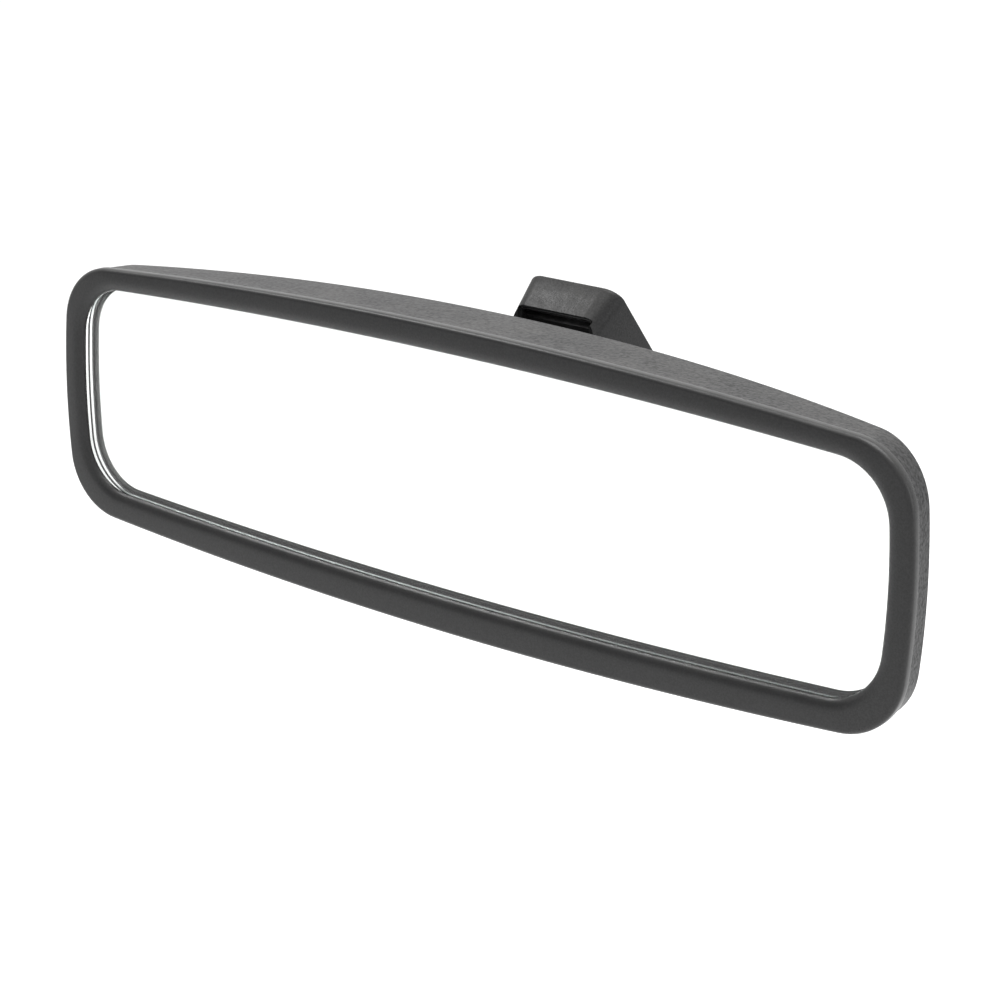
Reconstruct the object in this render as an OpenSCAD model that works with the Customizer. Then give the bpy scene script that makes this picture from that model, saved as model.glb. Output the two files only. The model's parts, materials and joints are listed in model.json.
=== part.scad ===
// Interior rearview mirror: a framed mirror head on a ball joint, carried by a foot that slides
// over a button glued to the windscreen. X runs along the head, the glass faces -Y, Z is up.
// The origin is the centre of the foot's windscreen face.

/* [Head] */
// Width of the head over the bezel
head_w = 236; // [200:1:260]
// Height of the head at its middle
head_h = 70.2; // [60:0.2:80]
// How far the long edges fall from the middle to the ends
long_bow = 5.1; // [2:0.1:8]
// How far the end edges bulge at mid height
end_bow = 3.4; // [1:0.1:6]
// Corner radius of the head
corner_r = 15.4; // [8:0.2:22]
// Distance from the bezel's front back to the windscreen face's centre
head_back = 58; // [54:0.5:70]
// Distance from the head's mid height up to the windscreen face's centre
head_drop = 24.6; // [20:0.2:30]

/* [Bezel and glass] */
// Width of the bezel at the two ends, out to the edge of its lip
face_end = 6; // [5:0.1:9]
// Width of the bezel along the top
face_top = 6.2; // [5:0.1:9]
// Width of the bezel along the bottom
face_bottom = 8; // [5:0.1:10]
// Corner radius of the window
window_r = 13; // [6:0.2:18]
// Depth of the bezel from its front to the seam with the housing
seam_y = 2.8; // [2:0.1:4]
// Depth of the glass behind the bezel's front
glass_y = 1.8; // [1.2:0.1:2]
// Thickness of the glass
glass_t = 3.6; // [2:0.1:3.8]

/* [Housing] */
// Depth of the housing's back in the very middle
back_y = 23; // [22:0.5:26]
// Radius of the back in plan
plan_r = 490; // [450:10:800]
// Radius of the back from top to bottom
dome_r = 240; // [160:10:400]
// Wall of the housing
wall = 1.8; // [1.4:0.1:2.5]

/* [Ball joint] */
// Depth of the ball's centre behind the bezel's front
ball_y = 17.5; // [16:0.5:19]
// Radius of the ball
ball_r = 8; // [7:0.1:8.5]
// Radius of the stud's neck
neck_r = 4; // [3:0.1:4.5]
// Thickness of the two ball seats
seat_t = 1.55; // [1.2:0.05:2]
// Free play between ball, seats and socket
play = 0.05; // [0.03:0.01:0.1]

/* [Foot] */
// Width of the foot cover
foot_w = 26; // [24:0.5:30]
// Wall of the foot cover
cover_t = 1.6; // [1.2:0.1:2]
// Size of the blunt upper corners of the foot cover, seen square to the windscreen face
hood_corner = 4.2; // [3:0.1:5]
// Angle of the windscreen face from the vertical plane of the glass, laid back
rake = 50; // [45:1:55]
// Length of the windscreen face above its centre, along the slope
pad_up = 15.6; // [14:0.2:18]
// Length of the windscreen face below its centre, along the slope
pad_down = 17; // [15:0.5:20]

/* [Button channel] */
// Width of the channel's cavity
slot_w = 17.2; // [14:0.2:18]
// Depth of the cavity under the lips
slot_d = 6; // [5.9:0.1:6.5]
// Width of the mouth between the lips
mouth_w = 13.2; // [10:0.2:14]
// Thickness of the lips
lip_t = 1.2; // [1:0.1:1.6]

/* [Hidden] */

half_w = head_w / 2;
half_h = head_h / 2;
window_long_bow = 3.4;
window_end_bow = 2.4;
window_h = head_h - face_top - face_bottom;
window_z = (face_bottom - face_top) / 2;
lip_w = 2.5;

// Layers behind the glass
silver_t = 0.12;
film_t = 0.2;
foam_t = 1.5;
silver_y = glass_y + glass_t;
film_y = silver_y + silver_t;
foam_y = film_y + film_t;
rib_y = foam_y + foam_t;

// Inset of the housing from the head's outline
housing_inset = 0.3;

// Outsets from the window's outline
glass_lap = 0.9;
pocket_lap = glass_lap + 0.1;
tongue_t = 1.2;
tongue_lap = pocket_lap + tongue_t;
tongue_y = 6;

// Socket inside the housing
seat_in = ball_r + play;
seat_out = seat_in + seat_t;
socket_r = seat_out + 2 * play;
yaw_swing = 20;
head_swing = 25;
seat_mouth = asin(neck_r / ball_r) + yaw_swing + 2;
socket_mouth_r = socket_r * sin(asin(neck_r / socket_r) + head_swing + 4);
collar_r = 14;
collar_y = back_y + 1;
seat_split = 86;
front_split = 106;

// Clamp plate that holds the ball in the socket
plate_back_y = ball_y - 3;
plate_t = 1.2;
plate_size = [44, 34];
plate_hole = [17, 12];
screw_r = 1.2;
screw_play = 0.1;
boss_r = 3.2;
boss_end_y = back_y - 1.5;

// Ball stud, from the ball's centre backwards
collar_from = 15.5;
neck_len = 19;
shank_r = 3;
shank_len = 39.5;
foot_front_y = ball_y + neck_len;
nut_seat_y = 50.5;
washer_t = 1.2;
nut_t = 5;
nut_flats = 10;
arm_r = 9.5;
arm_end_y = 58.6;

// Foot, in the windscreen face's own directions: t down the slope, n out of the face
channel_floor = 2;
channel_depth = lip_t + slot_d + channel_floor;
channel_w = 21;
channel_top = -11.5;
slot_top = -10;
front_wall_depth = 9.4;
front_wall_t = 1.8;
body_front_y = -14;
body_w = foot_w - 2 * cover_t - 0.1;
cheek_front_y = -17.6;
cheek_low_z = -12.6;
fixing = [5.5, 11];
clamp_r = 2.5;
insert_r = 3.6;
insert_len = 6;

// Radius of a shallow arc from half its chord and its rise
function arc_r(half_chord, rise) = (half_chord * half_chord + rise * rise) / (2 * rise);

// Where two circles cross, on the side away from the head's centre line
function crossing(c1, r1, c2, r2) =
    let (d = norm(c2 - c1), e = (c2 - c1) / d,
         u = (r1 * r1 - r2 * r2 + d * d) / (2 * d), v = sqrt(r1 * r1 - u * u))
    c1 + u * e + v * [e[1], -e[0]];

// Top right quarter of a rounded rectangle whose four sides are shallow arcs
function quarter(a, b, r, rise_b, rise_a) =
    let (rt = arc_r(a, rise_b), rs = arc_r(b, rise_a), ct = [0, b - rt], cs = [a - rs, 0],
         c = crossing(ct, rt - r, cs, rs - r),
         t1 = atan2(c[1] - ct[1], c[0] - ct[0]), t2 = atan2(c[1] - cs[1], c[0] - cs[0]))
    concat([for (i = [0:5]) let (t = 90 + (t1 - 90) * i / 6) ct + rt * [cos(t), sin(t)]],
           [for (i = [0:7]) let (t = t1 + (t2 - t1) * i / 8) c + r * [cos(t), sin(t)]],
           [for (i = [0:3]) let (t = t2 * (1 - i / 3)) cs + rs * [cos(t), sin(t)]]);

function whole(q) =
    let (m = len(q) - 1)
    concat(q, [for (i = [1:m]) [q[m - i][0], -q[m - i][1]]],
           [for (i = [1:m]) [-q[i][0], -q[i][1]]],
           [for (i = [1:m - 1]) [-q[m - i][0], q[m - i][1]]]);

// The head's outline moved inwards, and the window's outline moved outwards
function outline(inset) =
    whole(quarter(half_w - inset, half_h - inset, corner_r - inset, long_bow, end_bow));
function window(outset) =
    [for (p = whole(quarter(half_w - face_end + outset, window_h / 2 + outset, window_r + outset,
                            window_long_bow, window_end_bow))) [p[0], p[1] + window_z]];
function at_depth(points, y) = [for (p = points) [p[0], y, p[1]]];

// A point of the foot's side view from its place along and out of the windscreen face
function pad(t, n) = [t * cos(rake) + n * sin(rake), n * cos(rake) - t * sin(rake)];

module in_head() {
    translate([0, -head_back, -head_drop]) children();
}

module on_pad() {
    rotate([-rake, 0, 0]) children();
}

module slab(y0, y1) {
    translate([0, y1, 0]) rotate([90, 0, 0]) linear_extrude(y1 - y0) children();
}

module side_plate(w) {
    translate([-w / 2, 0, 0]) rotate([90, 0, 90]) linear_extrude(w) children();
}

module rod(r, y0, y1, fn = 64) {
    translate([0, y0, 0]) rotate([-90, 0, 0]) cylinder(r = r, h = y1 - y0, $fn = fn);
}

module at_ball() {
    in_head() translate([0, ball_y, 0]) children();
}

module at_plate_holes() {
    for (x = [-1, 1], z = [-1, 1])
        translate([x * plate_hole[0], 0, z * plate_hole[1]]) children();
}

// Closed tube of triangles through rings that have the same number of points
module loft(rings) {
    n = len(rings);
    m = len(rings[0]);
    polyhedron(
        points = [for (ring = rings, p = ring) p],
        faces = [for (i = [0:n - 1], k = [0:m - 1], half = [0, 1])
                 let (a = i * m + k, b = i * m + (k + 1) % m,
                      c = ((i + 1) % n) * m + (k + 1) % m, d = ((i + 1) % n) * m + k)
                 half == 0 ? [a, c, b] : [a, d, c]]);
}

// Everything in front of the housing's curved back, moved forwards by inset
module before_back(inset) {
    translate([0, back_y - plan_r, 0])
        rotate([0, 0, 75])
            rotate_extrude(angle = 30, $fn = 360)
                intersection() {
                    translate([plan_r - dome_r, 0]) circle(r = dome_r - inset, $fn = 360);
                    translate([plan_r - 60, -50]) square([80, 100]);
                }
}

module rear_housing() {
    color([0.16, 0.16, 0.17])
        in_head() difference() {
            union() {
                difference() {
                    intersection() {
                        slab(seam_y, 40) polygon(outline(housing_inset));
                        before_back(0);
                    }
                    intersection() {
                        slab(seam_y - 1, 40) polygon(outline(housing_inset + wall));
                        before_back(wall);
                    }
                }
                rod(collar_r, plate_back_y, collar_y);
                at_plate_holes() rod(boss_r, plate_back_y, boss_end_y, 32);
                intersection() {
                    for (x = [-85, -45, 45, 85])
                        translate([x - 0.8, rib_y, -22]) cube([1.6, 30, 44]);
                    before_back(wall / 2);
                }
            }
            translate([0, ball_y, 0]) rotate([-90, 0, 0]) sphere(r = socket_r, $fn = 96);
            rod(socket_r + 0.5, plate_back_y - 5, ball_y - 1);
            rod(socket_mouth_r, ball_y + 3, collar_y + 1);
            translate([0, collar_y - 1.2, 0]) rotate([-90, 0, 0])
                cylinder(r1 = socket_mouth_r, r2 = socket_mouth_r + 2.4, h = 2.4, $fn = 64);
            at_plate_holes() rod(screw_r + screw_play / 2, plate_back_y - 1, plate_back_y + 6, 32);
        }
}

module front_bezel() {
    color([0.14, 0.14, 0.15])
        in_head() loft([
            at_depth(outline(0), seam_y), at_depth(outline(0), 1.5),
            at_depth(outline(0.25), 0.75), at_depth(outline(0.8), 0.25),
            at_depth(outline(1.6), 0.05), at_depth(window(lip_w), 0),
            each [for (t = [15:15:90])
                at_depth(window(lip_w * (1 - sin(t))), (glass_y - 0.05) * (1 - cos(t)))],
            at_depth(window(pocket_lap), glass_y - 0.05), at_depth(window(pocket_lap), tongue_y),
            at_depth(window(tongue_lap), tongue_y), at_depth(window(tongue_lap), seam_y)]);
}

module mirror_glass() {
    color([0.75, 0.85, 0.85, 0.5])
        in_head() slab(glass_y, glass_y + glass_t) polygon(window(glass_lap));
}

module silver_coating() {
    color([0.9, 0.9, 0.92])
        in_head() slab(silver_y, silver_y + silver_t) polygon(window(glass_lap));
}

module safety_film() {
    color([0.08, 0.08, 0.09])
        in_head() slab(film_y, film_y + film_t) polygon(window(glass_lap));
}

module foam_strips() {
    color([0.25, 0.25, 0.26])
        in_head() for (x = [-85, -45, 45, 85])
            translate([x - 3, foam_y, -20]) cube([6, foam_t, 40]);
}

// Pressed steel plate with a dish over the front seat
module ball_clamp_plate() {
    color([0.72, 0.73, 0.75])
        in_head() difference() {
            union() {
                translate([-plate_size[0] / 2, plate_back_y - plate_t, -plate_size[1] / 2])
                    cube([plate_size[0], plate_t, plate_size[1]]);
                intersection() {
                    translate([0, ball_y, 0]) rotate([-90, 0, 0])
                        sphere(r = socket_r + plate_t, $fn = 96);
                    rod(20, ball_y - 20, plate_back_y - plate_t / 2);
                }
            }
            translate([0, ball_y, 0]) rotate([-90, 0, 0]) sphere(r = seat_out + play, $fn = 96);
            at_plate_holes() rod(screw_r + 0.3, 0, plate_back_y + 1, 32);
        }
}

// Pan-head tapping screws with a cross recess, heads against the plate
module clamp_plate_screws() {
    head_y = plate_back_y - plate_t;
    color([0.78, 0.78, 0.8])
        in_head() at_plate_holes() difference() {
            union() {
                rod(2.7, head_y - 1.8, head_y, 32);
                rod(screw_r, head_y - 0.5, head_y + 6.4, 32);
            }
            for (w = [[3, 0.7], [0.7, 3]])
                translate([-w[0] / 2, head_y - 2, -w[1] / 2]) cube([w[0], 1.2, w[1]]);
        }
}

// Zone of a hollow sphere about Y, between two angles measured from +Y
module ball_zone(r_in, r_out, from, to) {
    far = 4 * r_out;
    rotate([-90, 0, 0]) rotate_extrude($fn = 96) intersection() {
        difference() {
            circle(r = r_out, $fn = 96);
            circle(r = r_in, $fn = 96);
        }
        polygon([[0, 0], far * [sin(from), cos(from)], far * [sin(to), cos(to)]]);
    }
}

module front_ball_seat() {
    color([0.92, 0.91, 0.87]) at_ball() ball_zone(seat_in, seat_out, front_split, 180);
}

module rear_ball_seat() {
    color([0.92, 0.91, 0.87]) at_ball() ball_zone(seat_in, seat_out, seat_mouth, seat_split);
}

module ball_stud() {
    color([0.7, 0.7, 0.72]) at_ball() {
        rotate([-90, 0, 0]) sphere(r = ball_r, $fn = 96);
        rod(neck_r, 1, collar_from + 1);
        rod(7, collar_from, neck_len, 6);
        rod(shank_r, neck_len - 1, shank_len);
    }
}

module stud_washer() {
    color([0.78, 0.78, 0.8]) in_head() difference() {
        rod(6, nut_seat_y, nut_seat_y + washer_t);
        rod(shank_r + 0.2, nut_seat_y - 1, nut_seat_y + washer_t + 1);
    }
}

module stud_nut() {
    y0 = nut_seat_y + washer_t;
    color([0.75, 0.75, 0.78]) in_head() difference() {
        rod(nut_flats / (2 * cos(30)), y0, y0 + nut_t, 6);
        rod(shank_r + 0.02, y0 - 1, y0 + nut_t + 1);
    }
}

// Moulded core of the foot: the arm that takes the stud, and the bed of the channel
module foot_body() {
    bed = -channel_depth;
    color([0.12, 0.12, 0.13]) difference() {
        union() {
            in_head() rod(arm_r, foot_front_y, arm_end_y);
            side_plate(body_w) polygon([
                [body_front_y, (bed - body_front_y * sin(rake)) / cos(rake)],
                [body_front_y, 2 - head_drop],
                [arm_end_y - head_back, 2 - head_drop],
                pad(pad_down, bed)]);
        }
        in_head() rod(shank_r + 0.05, 0, 100);
        in_head() rod(6.4, nut_seat_y, 100);
        on_pad() {
            for (x = [-1, 1])
                translate([x * fixing[0], fixing[1], bed - 7])
                    cylinder(r = screw_r + screw_play / 2, h = 10, $fn = 32);
            translate([0, 0, bed - 40]) cylinder(r = clamp_r + 0.3, h = 50, $fn = 48);
            translate([0, 0, bed - insert_len]) cylinder(r = insert_r, h = 20, $fn = 48);
        }
    }
}

// Waste outside the hood's two blunted upper corners, seen square to the windscreen face
module hood_corners() {
    half = foot_w / 2;
    bend = hood_corner * (1 - cos(45));
    past = 1;
    run = hood_corner + past * tan(67.5);
    on_pad() for (side = [-1, 1])
        translate([0, -pad_up, -60]) linear_extrude(80) polygon([
            [side * (half - bend), bend], [side * (half + past), run],
            [side * (half + past), -past], [side * (half - run), -past]]);
}

// Moulded hood over the foot: an end wall square to the windscreen and two cheeks
module foot_cover() {
    low = -0.3;
    color([0.17, 0.17, 0.18]) difference() {
        side_plate(foot_w) polygon([
            pad(-pad_up, -front_wall_depth), [cheek_front_y, 5], [cheek_front_y, cheek_low_z],
            pad(pad_down, -channel_depth), pad(pad_down, low), pad(1.2 - pad_up, low),
            pad(0.3 - pad_up, low - 0.3), pad(-pad_up, low - 1.2)]);
        side_plate(foot_w - 2 * cover_t) polygon([
            pad(front_wall_t - pad_up, 10), pad(front_wall_t - pad_up, -front_wall_depth),
            pad(-2 * pad_up, -front_wall_depth), [-60, -40], [60, -40], [60, 20]]);
        hood_corners();
    }
}

// Die-cast channel that slides down over the glued windscreen button
module button_channel() {
    len = pad_down - channel_top;
    color([0.6, 0.6, 0.62]) on_pad() difference() {
        translate([-channel_w / 2, channel_top, -channel_depth])
            cube([channel_w, len, channel_depth]);
        translate([-slot_w / 2, slot_top, -lip_t - slot_d]) cube([slot_w, 2 * len, slot_d]);
        translate([-mouth_w / 2, slot_top, -lip_t - 1]) cube([mouth_w, 2 * len, 5]);
        translate([0, 0, -channel_depth - 1]) cylinder(r = clamp_r + 0.1, h = 5, $fn = 48);
        for (x = [-1, 1]) translate([x * fixing[0], fixing[1], -channel_depth]) {
            translate([0, 0, -1]) cylinder(r = screw_r + 0.3, h = 5, $fn = 32);
            translate([0, 0, 0.4]) cylinder(r1 = 1.3, r2 = 3.0, h = 1.7, $fn = 32);
        }
    }
}

// Countersunk screws that hold the channel to the foot body
module channel_screws() {
    color([0.78, 0.78, 0.8]) on_pad() for (x = [-1, 1])
        translate([x * fixing[0], fixing[1], -channel_depth]) difference() {
            union() {
                translate([0, 0, -6.5]) cylinder(r = screw_r, h = 7.5, $fn = 32);
                translate([0, 0, 0.5]) cylinder(r1 = 1.2, r2 = 2.6, h = 1.4, $fn = 32);
            }
            for (w = [[3, 0.7], [0.7, 3]])
                translate([-w[0] / 2, -w[1] / 2, 1]) cube([w[0], w[1], 2]);
        }
}

// Bent strip at the channel's closed end that takes up the play of the button
module button_spring() {
    strip = 0.5;
    floor_n = -lip_t - slot_d;
    color([0.65, 0.66, 0.68]) on_pad() {
        translate([-4, slot_top, floor_n]) cube([8, 4, strip]);
        translate([-4, slot_top, floor_n]) cube([8, strip, slot_d - 1]);
    }
}

module clamp_insert() {
    color([0.8, 0.66, 0.35]) on_pad() translate([0, 0, -channel_depth - insert_len]) difference() {
        cylinder(r = insert_r, h = insert_len, $fn = 48);
        translate([0, 0, -1]) cylinder(r = clamp_r + 0.02, h = insert_len + 2, $fn = 48);
    }
}

// Grub screw with a hexagon socket that presses on the windscreen button
module clamp_screw() {
    tip = -lip_t - slot_d - 0.05;
    color([0.3, 0.3, 0.32]) on_pad() translate([0, 0, tip - 8]) difference() {
        cylinder(r = clamp_r, h = 8, $fn = 48);
        translate([0, 0, -1]) cylinder(r = 1.45, h = 4, $fn = 6);
    }
}

rear_housing();
front_bezel();
mirror_glass();
silver_coating();
safety_film();
foam_strips();
ball_clamp_plate();
clamp_plate_screws();
front_ball_seat();
rear_ball_seat();
ball_stud();
stud_washer();
stud_nut();
foot_body();
foot_cover();
button_channel();
channel_screws();
button_spring();
clamp_insert();
clamp_screw();
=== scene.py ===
import json
import math

import bmesh
import bpy
from mathutils import Matrix, Quaternion, Vector


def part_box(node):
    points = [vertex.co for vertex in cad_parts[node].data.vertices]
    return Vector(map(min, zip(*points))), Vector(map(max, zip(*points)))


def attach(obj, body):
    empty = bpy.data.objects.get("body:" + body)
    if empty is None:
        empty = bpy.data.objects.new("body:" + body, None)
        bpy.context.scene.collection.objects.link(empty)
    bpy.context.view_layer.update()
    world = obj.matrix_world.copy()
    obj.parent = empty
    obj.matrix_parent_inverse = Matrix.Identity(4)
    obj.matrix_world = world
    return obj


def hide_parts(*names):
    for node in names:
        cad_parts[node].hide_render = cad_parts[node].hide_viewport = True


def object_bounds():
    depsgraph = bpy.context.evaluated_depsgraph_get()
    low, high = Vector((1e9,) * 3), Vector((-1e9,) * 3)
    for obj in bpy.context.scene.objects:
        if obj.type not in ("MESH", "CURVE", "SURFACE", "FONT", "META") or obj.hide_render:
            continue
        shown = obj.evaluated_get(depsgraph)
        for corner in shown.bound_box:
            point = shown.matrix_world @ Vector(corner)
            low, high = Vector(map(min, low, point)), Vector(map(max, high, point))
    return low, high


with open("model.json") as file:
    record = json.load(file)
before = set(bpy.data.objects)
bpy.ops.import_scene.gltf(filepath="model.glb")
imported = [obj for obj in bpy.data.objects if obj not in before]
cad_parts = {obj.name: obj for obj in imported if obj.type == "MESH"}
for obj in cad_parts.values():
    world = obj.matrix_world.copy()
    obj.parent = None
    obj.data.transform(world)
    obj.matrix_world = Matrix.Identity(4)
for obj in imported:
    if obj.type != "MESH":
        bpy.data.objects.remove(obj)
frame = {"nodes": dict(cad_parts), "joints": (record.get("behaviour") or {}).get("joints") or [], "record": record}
cad_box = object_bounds()


# ---- Studio
# The mirror hangs in a white room over a pale floor, under one broad soft light. A second
# light stands on the right and a small one on the upper left. A grey curtain at the front
# left is out of the camera's sight and shows only in what the surfaces reflect.

FLOOR_BELOW = 0.34
FLOOR_SIZE = 14.0
WALLS = 1.13
CURTAIN, CURTAIN_GREY = (-0.59, -0.75, 0.36), 0.45
CURTAIN_EDGE, CURTAIN_MIDDLE = 0.87, 0.96  # cosines of the angle from its centre


def node(tree, kind, inputs=None, **settings):
    """Adds a shader node; an input that is a socket is linked, any other is set."""
    made = tree.nodes.new(kind)
    for key, value in settings.items():
        setattr(made, key, value)
    for key, value in (inputs or {}).items():
        if isinstance(value, bpy.types.NodeSocket):
            tree.links.new(value, made.inputs[key])
        else:
            made.inputs[key].default_value = value
    return made


def blank(name):
    """A new material with its node tree and its shader."""
    made = bpy.data.materials.new(name)
    made.use_nodes = True
    return made, made.node_tree, made.node_tree.nodes["Principled BSDF"]


world = bpy.data.worlds.new("white room")
world.use_nodes = True
tree = world.node_tree
way = node(tree, "ShaderNodeVectorMath", {0: node(tree, "ShaderNodeTexCoord").outputs["Generated"],
           1: Vector(CURTAIN).normalized()}, operation="DOT_PRODUCT")
dimmed = node(tree, "ShaderNodeMapRange", {"Value": way.outputs["Value"],
              "From Min": CURTAIN_EDGE, "From Max": CURTAIN_MIDDLE,
              "To Min": WALLS, "To Max": CURTAIN_GREY}, interpolation_type="SMOOTHSTEP")
direct = node(tree, "ShaderNodeLightPath").outputs["Is Camera Ray"]
seen = node(tree, "ShaderNodeMix", {"Factor": direct, "A": dimmed.outputs["Result"], "B": WALLS})
tree.links.new(seen.outputs["Result"], tree.nodes["Background"].inputs["Strength"])
tree.nodes["Background"].inputs["Color"].default_value = (1.0, 1.0, 1.0, 1.0)
bpy.context.scene.world = world
bpy.context.scene.view_settings.view_transform = "Standard"

bezel_low, bezel_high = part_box("front_bezel")
head_front = Vector(((bezel_low.x + bezel_high.x) / 2, bezel_low.y,
                     (bezel_low.z + bezel_high.z) / 2))


def soft_light(name, place, size, power):
    """A square area light at place, turned to face the mirror."""
    light = bpy.data.lights.new(name, "AREA")
    light.shape = "SQUARE"
    light.size = size
    light.energy = power
    lamp = bpy.data.objects.new(name, light)
    lamp.location = head_front + Vector(place)
    lamp.rotation_euler = Vector(place).to_track_quat("Z", "Y").to_euler()
    bpy.context.scene.collection.objects.link(lamp)


soft_light("overhead softbox", (0.15, 0.12, 1.25), 1.0, 17.0)
soft_light("right softbox", (1.30, 0.25, 0.35), 0.9, 4.0)
soft_light("left striplight", (-0.80, -0.14, 1.05), 0.30, 5.0)

floor_mesh = bpy.data.meshes.new("floor")
floor_z = cad_box[0].z - FLOOR_BELOW
corners = [(-1, -1), (1, -1), (1, 1), (-1, 1)]
floor_mesh.from_pydata([(x * FLOOR_SIZE / 2, y * FLOOR_SIZE / 2, floor_z) for x, y in corners],
                       [], [(0, 1, 2, 3)])
floor = bpy.data.objects.new("floor", floor_mesh)
bpy.context.scene.collection.objects.link(floor)
paper, tree, shader = blank("white paper floor")
shader.inputs["Base Color"].default_value = (0.93, 0.93, 0.93, 1)
shader.inputs["Roughness"].default_value = 0.9
floor_mesh.materials.append(paper)


# ---- Camera
# A short telephoto, a little over half a metre from the head, above it and to its right,
# and turned by under a degree about its own axis.

VIEW_AZIMUTH = math.radians(38.04)
VIEW_ELEVATION = math.radians(18.52)
VIEW_ROLL = math.radians(0.7)
VIEW_DISTANCE = 0.59705
VIEW_TARGET = Vector((0.00948, 0.00995, -0.00469))

towards_camera = Vector((math.sin(VIEW_AZIMUTH) * math.cos(VIEW_ELEVATION),
                         -math.cos(VIEW_AZIMUTH) * math.cos(VIEW_ELEVATION),
                         math.sin(VIEW_ELEVATION)))
lens = bpy.data.cameras.new("camera")
lens.sensor_width = 36.0
lens.lens = 97.87
camera = bpy.data.objects.new("camera", lens)
camera.rotation_mode = "QUATERNION"
camera.rotation_quaternion = (towards_camera.to_track_quat("Z", "Y")
                              @ Quaternion((0, 0, 1), VIEW_ROLL))
camera.location = head_front + VIEW_TARGET + towards_camera * VIEW_DISTANCE
bpy.context.scene.collection.objects.link(camera)
bpy.context.scene.camera = camera


# ---- Ball stud
# A turned steel stud, nickel plated: ball, waisted neck, hexagon collar for the spanner and a
# rolled M6 thread. The collar pulls up against the front of the foot's arm.

MM = 0.001
ball_centre = Vector(frame["joints"][0]["pos_m"])
at_ball = Matrix.Translation(ball_centre) @ Matrix.Rotation(math.radians(-90), 4, "X")
BALL_R = 8.0
NECK_R = 4.0
WAIST_R, WAIST_AT = 3.7, 10.5
COLLAR_FROM, COLLAR_TO, COLLAR_FLATS = 15.5, 19.0, 12.1
SHANK_R, SHANK_TO, THREAD_PITCH = 3.0, 39.4, 1.0


def piece(name, rings, place, loop=False, sharp=40):
    """A closed mesh through rings of equal length, in millimetres, set in place.

    With loop the last ring joins the first; without it both ends are capped.
    """
    bm = bmesh.new()
    made = [[bm.verts.new(Vector(p) * MM) for p in ring] for ring in rings]
    pairs = list(zip(made, made[1:])) + ([(made[-1], made[0])] if loop else [])
    for low, high in pairs:
        for k in range(len(low)):
            n = (k + 1) % len(low)
            bm.faces.new((low[k], low[n], high[n], high[k]))
    if not loop:
        bm.faces.new(made[0][::-1])
        bm.faces.new(made[-1])
    return from_bmesh(name, bm, place, sharp)


def from_bmesh(name, bm, place, sharp):
    """Links the mesh as an object, smooth shaded apart from edges sharper than the angle."""
    bmesh.ops.transform(bm, matrix=place, verts=bm.verts)
    bmesh.ops.recalc_face_normals(bm, faces=bm.faces)
    for face in bm.faces:
        face.smooth = True
    for edge in bm.edges:
        edge.smooth = len(edge.link_faces) == 2 and edge.calc_face_angle() < math.radians(sharp)
    mesh = bpy.data.meshes.new(name)
    bm.to_mesh(mesh)
    bm.free()
    made = bpy.data.objects.new(name, mesh)
    bpy.context.scene.collection.objects.link(made)
    return made


def filleted(points, radii, steps=5):
    """The open path of points with each inner corner rounded by its radius."""
    path = [Vector(points[0])]
    for before, corner, after, r in zip(points, points[1:], points[2:], radii):
        before, corner, after = Vector(before), Vector(corner), Vector(after)
        if r <= 0:
            path.append(corner)
            continue
        a, b = (before - corner).normalized(), (after - corner).normalized()
        half = a.angle(b) / 2
        centre = corner + (a + b).normalized() * (r / math.sin(half))
        start = corner + a * (r / math.tan(half)) - centre
        end = corner + b * (r / math.tan(half)) - centre
        turn = start.angle_signed(end)
        for i in range(steps + 1):
            t = -turn * i / steps
            path.append(centre + Vector((start.x * math.cos(t) - start.y * math.sin(t),
                                         start.x * math.sin(t) + start.y * math.cos(t))))
    return path + [Vector(points[-1])]


def circle(r, h, steps=96):
    """A ring of points about the local Z axis."""
    return [(r * math.cos(math.tau * k / steps), r * math.sin(math.tau * k / steps), h)
            for k in range(steps)]


def lathe(name, profile, place, loop=False, steps=96, sharp=40):
    """A turned solid from a profile of (radius, height) points."""
    return piece(name, [circle(max(r, 0.01), h, steps) for r, h in profile], place, loop, sharp)


def hexagon(flats, chamfer, bore, h0, h1, steps=120):
    """Rings of a hexagon with turned chamfers at both ends, and a bore if it has one."""
    apothem, corner = flats / 2, flats / (2 * math.cos(math.radians(30)))
    heights = [h0, h0 + chamfer * 0.5, h0 + chamfer, h1 - chamfer, h1 - chamfer * 0.5, h1]
    rings = []
    for h in heights:
        limit = corner - 1.7 * max(0, chamfer - min(h - h0, h1 - h)) + 0.02
        ring = []
        for k in range(steps):
            t = math.tau * k / steps
            r = min(apothem / math.cos((t % math.radians(60)) - math.radians(30)), limit)
            ring.append((r * math.cos(t), r * math.sin(t), h))
        rings.append(ring)
    if bore:
        rings = [circle(bore, h0, steps)] + rings + [circle(bore, h1, steps)]
    return rings


def thread(radius, h0, h1, pitch, depth, steps=48, per_pitch=8):
    """Rings of a rolled thread whose ends run out into small chamfers."""
    rings = []
    count = int((h1 - h0) / pitch * per_pitch)
    for j in range(count + 1):
        h = h0 + (h1 - h0) * j / count
        fade = min(1.0, (h - h0) / pitch, (h1 - h) / pitch)
        ring = []
        for k in range(steps):
            phase = (h / pitch - k / steps) % 1.0
            cut = abs(2 * phase - 1)
            r = radius - depth * cut * fade - depth * (1 - fade)
            t = math.tau * k / steps
            ring.append((r * math.cos(t), r * math.sin(t), h))
        rings.append(ring)
    return rings


def joined(name, *parts):
    """One object from several closed shells."""
    bm = bmesh.new()
    for part in parts:
        bm.from_mesh(part.data)
        bpy.data.objects.remove(part)
    mesh = bpy.data.meshes.new(name)
    bm.to_mesh(mesh)
    bm.free()
    made = bpy.data.objects.new(name, mesh)
    bpy.context.scene.collection.objects.link(made)
    return made


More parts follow.
